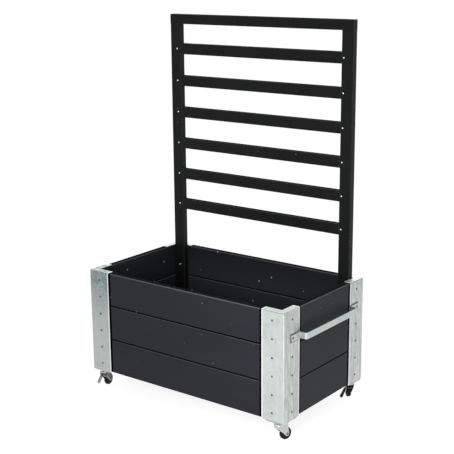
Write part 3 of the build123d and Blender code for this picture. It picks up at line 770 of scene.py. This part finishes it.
def plated(name, dull, bright, roughness, side_shade=None, fork=None, rubbed=0.6):
    """Zinc plating with fine marks; faces that don't look up may get painted shade, and a fork a painted
    highlight on its lips.
    """
    made, tree, shader, surface = new_material(name)
    place = surface["Object"]
    edges = use_group(tree, edge_group, Vector=place, Radius=0.0008, Patchiness=160.0)
    cloud = noise(tree, place, scale=70.0, detail=4.0, roughness=0.6)
    marks = noise(tree, scaled(tree, place, mark_stretch), detail=2.0)
    blend = weighted_sum(tree, (cloud, 0.7), (marks, 0.3))
    colour = mix_colour(tree, ramp(tree, blend, *noise_span), dull, bright)
    # Painted shade on the faces that don't look up.
    if side_shade:
        upward = split(tree, surface["Normal"])["Z"]
        colour = mix_colour(tree, ramp(tree, upward, *side_shade_to_top), side_shade, colour)
    # A painted highlight on the fork's lips.
    if fork:
        colour = mix_colour(tree, fork_lips(tree, split(tree, place), *fork), colour, lip_highlight_white)
    colour = mix_colour(tree, product(tree, edges["Mask"], rubbed), colour, rubbed_zinc)
    feed(tree, shader["Base Color"], colour)
    shader["Metallic"].default_value = 1.0
    feed(tree, shader["Roughness"], times_plus(tree, blend, times=0.2, plus=roughness))
    add_bump(tree, shader, strength=0.1, distance=0.0002, height=marks, normal=edges["Normal"])
    return made


# %% The plating of this planter
zinc_plate = ((0.60, 0.61, 0.62, 1), (0.84, 0.85, 0.86, 1))
caster_greys = ((0.55, 0.56, 0.57, 1), (0.78, 0.79, 0.80, 1))
rivet_greys = ((0.08, 0.08, 0.08, 1), (0.18, 0.18, 0.18, 1))
# The screw heads are darkened as painted shade.
screw_shade_greys = ((0.08, 0.085, 0.085, 1), (0.20, 0.205, 0.205, 1))
pin_greys = ((0.90, 0.905, 0.905, 1), (0.97, 0.975, 0.975, 1))
# Side colours are painted shade: light on the plain casters, dark and black on the two with a brake.
light_side_shade, dark_side_shade = (0.52, 0.53, 0.53, 1), (0.085, 0.087, 0.090, 1)
black_side_shade = (0.006, 0.006, 0.007, 1)
grey_pedal_side_shade, dark_pedal_side_shade = (0.30, 0.305, 0.31, 1), (0.012, 0.012, 0.013, 1)
fork_turns = {"front_left": 103.0, "front_right": 75.0, "back_left": 86.0, "back_right": 132.0}
fork_side_shades = {
    "front_left": dark_side_shade,
    "front_right": light_side_shade,
    "back_left": light_side_shade,
    "back_right": black_side_shade,
}


def fork_plating(corner):
    """The plating of one caster's fork, which stands under its plate at its own turn in degrees."""
    centre = sum(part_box(f"caster_plate_{corner}"), Vector()) / 2
    stands = {"fork": (centre, math.radians(fork_turns[corner])), "side_shade": fork_side_shades[corner]}
    return plated(f"fork_plating_{corner}", *zinc_plate, roughness=0.22, **stands, rubbed=0.15)


forks = {corner: fork_plating(corner) for corner in fork_turns}
caster_steel = plated("caster_plating", *caster_greys, roughness=0.20)
rivet_steel = plated("rivet_plating", *rivet_greys, roughness=0.28)
# The pedals are lit and shaded copies: their sides carry painted shade, grey on the front left and near
# black on the back right.
grey_pedal = plated("grey_pedal_plating", *zinc_plate, roughness=0.24, side_shade=grey_pedal_side_shade)
dark_pedal = plated("dark_pedal_plating", *zinc_plate, roughness=0.24, side_shade=dark_pedal_side_shade, rubbed=0.15)
screw_plating = plated("screw_plating", *screw_shade_greys, roughness=0.28, rubbed=0.3)
pin_plating = plated("pin_plating", *pin_greys, roughness=0.30)
print("plated forks:", sorted(forks))

# %% [markdown]
# ## Plastic and rubber
# The wheels have black plastic cores and grey-black rubber tyres. Both come out of a mould with a fine
# skin, so one function makes them, with a finer or coarser texture and more or less gloss. Most of the
# look lies in how little they reflect, which is why the specular level is low.

# %% Plastic and rubber
scuff_grey = (0.12, 0.12, 0.12, 1)
scuff_share, mould_shine = 0.4, 0.14


def moulded(name, dark, light, roughness, texture, depth):
    """Moulded plastic or rubber with a fine skin and scuffs on its edges."""
    made, tree, shader, surface = new_material(name)
    place = surface["Object"]
    edges = use_group(tree, edge_group, Vector=place, Radius=0.001, Patchiness=220.0)
    skin = noise(tree, place, scale=texture, detail=3.0, roughness=0.6)
    cloud = noise(tree, place, scale=55.0, detail=3.0)
    blend = weighted_sum(tree, (skin, 0.4), (cloud, 0.6))
    colour = mix_colour(tree, ramp(tree, blend, *noise_span), dark, light)
    colour = mix_colour(tree, product(tree, edges["Mask"], scuff_share), colour, scuff_grey)
    feed(tree, shader["Base Color"], colour)
    feed(tree, shader["Roughness"], times_plus(tree, cloud, times=0.2, plus=roughness))
    shader["Specular IOR Level"].default_value = mould_shine
    add_bump(tree, shader, strength=0.2, distance=depth, height=skin, normal=edges["Normal"])
    return made


fine_skin = {"texture": 900.0, "depth": 0.0002}
coarse_skin = {"texture": 500.0, "depth": 0.0004}
hub_greys = ((0.012, 0.012, 0.013, 1), (0.030, 0.030, 0.032, 1))
race_greys = ((0.020, 0.020, 0.021, 1), (0.050, 0.050, 0.052, 1))
tyre_greys = ((0.006, 0.006, 0.006, 1), (0.018, 0.018, 0.018, 1))
hub_plastic = moulded("hub_plastic", *hub_greys, roughness=0.32, **fine_skin)
race_plastic = moulded("race_plastic", *race_greys, roughness=0.38, **fine_skin)
tyre_rubber = moulded("tyre_rubber", *tyre_greys, roughness=0.55, **coarse_skin)
print("moulded finishes:", [finish.name for finish in (hub_plastic, race_plastic, tyre_rubber)])

# %% [markdown]
# ## Dressing the CAD nodes
# A node's name says what it is, so its finish is picked by the start of its name. A list of every name
# would be long and easy to get wrong. Where several lines fit a name, the first one is taken.

# %% Give each node its finish
finish_by_name = (
    ("front_board", timbers["long_boards"]),
    ("back_board", timbers["long_boards"]),
    ("left_board", timbers["end_boards"]),
    ("right_board", timbers["end_boards"]),
    ("front_floor_bearer", timbers["bearers"]),
    ("back_floor_bearer", timbers["bearers"]),
    ("floor_boards", timbers["planks"]),
    ("trellis_post_screws", pin_plating),
    ("trellis_rail_pins", pin_plating),
    ("trellis_post", timbers["posts"]),
    ("trellis_", timbers["rails"]),
    *((f"corner_bracket_{corner}", finish) for corner, finish in sheets.items()),
    ("pull_handle", bar_steel),
    ("bracket_screws", screw_plating),
    ("floor_screws", screw_plating),
    ("swivel_race", race_plastic),
    ("wheel_hub", hub_plastic),
    ("wheel_tyre", tyre_rubber),
    *((f"caster_fork_{corner}", finish) for corner, finish in forks.items()),
    ("brake_lever_front_left", grey_pedal),
    ("brake_lever_back_right", dark_pedal),
    ("caster_axle", rivet_steel),
    ("caster_", caster_steel),
)
for name, thing in nodes.items():
    finish = next(material for start, material in finish_by_name if name.startswith(start))
    thing.data.materials.clear()
    thing.data.materials.append(finish)
print("dressed nodes:", len(nodes))

# %% [markdown]
# ## Patterns for the heads of screws and pins
# Forty-eight round-head screws hold the brackets and four more the posts, and a small domed pin locks
# each rail's tenon. The CAD heads are plain discs, but on the real thing the dome and the driver's cross
# are what the eye catches. A boolean could cut the cross, but it leaves ragged faces. Here a dome is spun
# from a short arc and cut along the sides of the cross with bisecting planes, and the faces inside the
# cross are extruded, lowered and drawn in a little.

# %% A spun dome
screw_radius, screw_height = 0.0050, 0.0026
pin_radius, pin_height = 0.0035, 0.0016
shank_share, tip_share, shank_length = 0.5, 0.45, 0.001
arc_steps, spin_steps = 5, 24
steepest = 0.3
weld_distance = 1e-6


def spun_dome(radius, height):
    """A dome on the XY plane with a short shank below, as an open bmesh."""
    bm = bmesh.new()
    ball = (radius ** 2 + height ** 2) / (2 * height)
    sweep = math.asin(radius / ball)
    turns = [sweep * i / arc_steps for i in range(arc_steps + 1)]
    outline = [(ball * math.sin(turn), height - ball * (1 - math.cos(turn))) for turn in turns]
    outline += [(radius * shank_share, 0.0), (radius * tip_share, -shank_length)]
    line = [bm.verts.new((r, 0, z)) for r, z in outline]
    for first, second in zip(line, line[1:]):
        bm.edges.new((first, second))
    bmesh.ops.spin(
        bm,
        geom=bm.verts[:] + bm.edges[:],
        cent=(0, 0, 0),
        axis=(0, 0, 1),
        angle=2 * math.pi,
        steps=spin_steps,
        use_merge=True,
    )
    bmesh.ops.remove_doubles(bm, verts=bm.verts[:], dist=weld_distance)
    bmesh.ops.recalc_face_normals(bm, faces=bm.faces[:])
    for face in bm.faces:
        face.smooth = face.normal.z > steepest
    return bm


# %% A driver's cross
cross_half_width, cross_reach, cross_depth = 0.00065, 0.0027, 0.0017
cross_taper = 0.72
cut_distance = 1e-7


def in_cross(face):
    """Whether a face of the dome lies inside the driver's cross."""
    centre = face.calc_center_median()
    near, far = sorted((abs(centre.x), abs(centre.y)))
    return face.normal.z > steepest and near < cross_half_width and far < cross_reach


def sink_cross(bm):
    """Cuts a driver's cross into the top of a dome; its faces get the second material."""
    for axis in (Vector((1, 0, 0)), Vector((0, 1, 0))):
        for offset in (-cross_reach, -cross_half_width, cross_half_width, cross_reach):
            everything = bm.verts[:] + bm.edges[:] + bm.faces[:]
            bmesh.ops.bisect_plane(
                bm, geom=everything, dist=cut_distance, plane_co=axis * offset, plane_no=axis
            )
    tops = [face for face in bm.faces if in_cross(face)]
    raised = bmesh.ops.extrude_face_region(bm, geom=tops)["geom"]
    bmesh.ops.delete(bm, geom=[face for face in tops if face.is_valid], context="FACES_ONLY")
    sunk = [item for item in raised if isinstance(item, bmesh.types.BMVert)]
    bmesh.ops.translate(bm, vec=(0, 0, -cross_depth), verts=sunk)
    bmesh.ops.scale(bm, vec=(cross_taper, cross_taper, 1.0), verts=sunk)
    sunk = set(sunk)
    for face in bm.faces:
        if any(corner in sunk for corner in face.verts):
            face.smooth = False
            face.material_index = 1
    bmesh.ops.recalc_face_normals(bm, faces=bm.faces[:])


# %% The two patterns
def pattern_mesh(name, bm):
    """Turns a bmesh into a mesh that can be copied."""
    mesh = bpy.data.meshes.new(name)
    bm.to_mesh(mesh)
    bm.free()
    print(name, len(mesh.polygons), "faces")
    return mesh


screw_dome = spun_dome(screw_radius, screw_height)
sink_cross(screw_dome)
screw_pattern = pattern_mesh("screw_head_pattern", screw_dome)
pin_pattern = pattern_mesh("pin_head_pattern", spun_dome(pin_radius, pin_height))

# %% [markdown]
# ## Seating the heads
# Each head stands where its CAD screw or pin stands, turned outwards, and its cross is turned by a random
# amount, as a driver leaves it. Instances could share one mesh, but a piece keeps its place in its mesh,
# so the copies of a pattern are joined into one mesh for each kind. The CAD screws are then hidden. On
# each face of a bracket there are three pairs of screws, and the second from the top on the handle's end
# also holds the handle, so it stands on the bar.

# %% Seats and copies
luck = random.Random(11)
recess_greys = ((0.010, 0.010, 0.010, 1), (0.030, 0.030, 0.030, 1))
recess_black = moulded("recess_shadow", *recess_greys, roughness=0.5, texture=900.0, depth=0.0001)


def seat(point, outward):
    """A head's place: its Z turned outwards, and a random turn of the driver's cross."""
    turn = Matrix.Rotation(luck.uniform(0, math.pi / 2), 4, "Z")
    return Matrix.Translation(point) @ outward.to_track_quat("Z", "Y").to_matrix().to_4x4() @ turn


def place_heads(name, pattern, seats, stands_for, finishes):
    """One mesh with a copy of the pattern at every seat, in place of a CAD node of the planter."""
    bm = bmesh.new()
    for matrix in seats:
        first = len(bm.verts)
        bm.from_mesh(pattern)
        bm.verts.ensure_lookup_table()
        bmesh.ops.transform(bm, matrix=matrix, verts=bm.verts[first:])
    mesh = bpy.data.meshes.new(name)
    bm.to_mesh(mesh)
    bm.free()
    for finish in finishes:
        mesh.materials.append(finish)
    made = bpy.data.objects.new(name, mesh)
    bpy.context.scene.collection.objects.link(made)
    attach(made, "planter")
    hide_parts(stands_for)
    print(name, len(seats), "heads,", len(mesh.polygons), "faces")


# %% Heads on the brackets
screw_low, screw_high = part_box("bracket_screws")
screw_inset, handle_thickness = 0.055, 0.004
screw_rows = (-1, 0, 1)
bracket_height = bracket_high.z - bracket_low.z
row_pitch = bracket_height / len(screw_rows)
pair_gap = (screw_high.z - screw_low.z) - 2 * row_pitch - 2 * screw_radius
screw_levels = [
    bracket_low.z + bracket_height / 2 + row * row_pitch + side * pair_gap / 2
    for row in screw_rows for side in (-1, 1)
]
handle_level = sorted(screw_levels)[-2]
print("screw levels:", [round(level, 4) for level in screw_levels])

bracket_seats = []
for level in screw_levels:
    lift = handle_thickness if level == handle_level else 0.0
    for side in (-1, 1):
        x, y = side * (half_length - screw_inset), side * (half_depth - screw_inset)
        bracket_seats.append(seat(Vector((x, -half_depth, level)), Vector((0, -1, 0))))
        bracket_seats.append(seat(Vector((x, half_depth, level)), Vector((0, 1, 0))))
        bracket_seats.append(seat(Vector((-half_length, y, level)), Vector((-1, 0, 0))))
        bracket_seats.append(seat(Vector((half_length + lift, y, level)), Vector((1, 0, 0))))
screw_finishes = (screw_plating, recess_black)
place_heads("bracket_screw_heads", screw_pattern, bracket_seats, "bracket_screws", screw_finishes)

# %% Heads on the trellis
post_low, post_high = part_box("trellis_post_left")
post_middle, post_face = (post_low.x + post_high.x) / 2, post_low.y
post_drop, screws_per_post = 0.090, 2
forward = Vector((0, -1, 0))
post_levels = [bracket_high.z - post_drop - i * row_pitch for i in range(screws_per_post)]
post_seats = [
    seat(Vector((side * post_middle, post_face, level)), forward)
    for side in (1, -1) for level in post_levels
]
post_finishes = (pin_plating, recess_black)
place_heads("post_screw_heads", screw_pattern, post_seats, "trellis_post_screws", post_finishes)

pin_low, pin_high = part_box("trellis_rail_pins")
pin_places = (pin_low.x + pin_radius, pin_high.x - pin_radius)
pin_seats = [seat(Vector((x, post_face, level)), forward) for x in pin_places for level in rail_levels]
place_heads("rail_pin_heads", pin_pattern, pin_seats, "trellis_rail_pins", (pin_plating,))
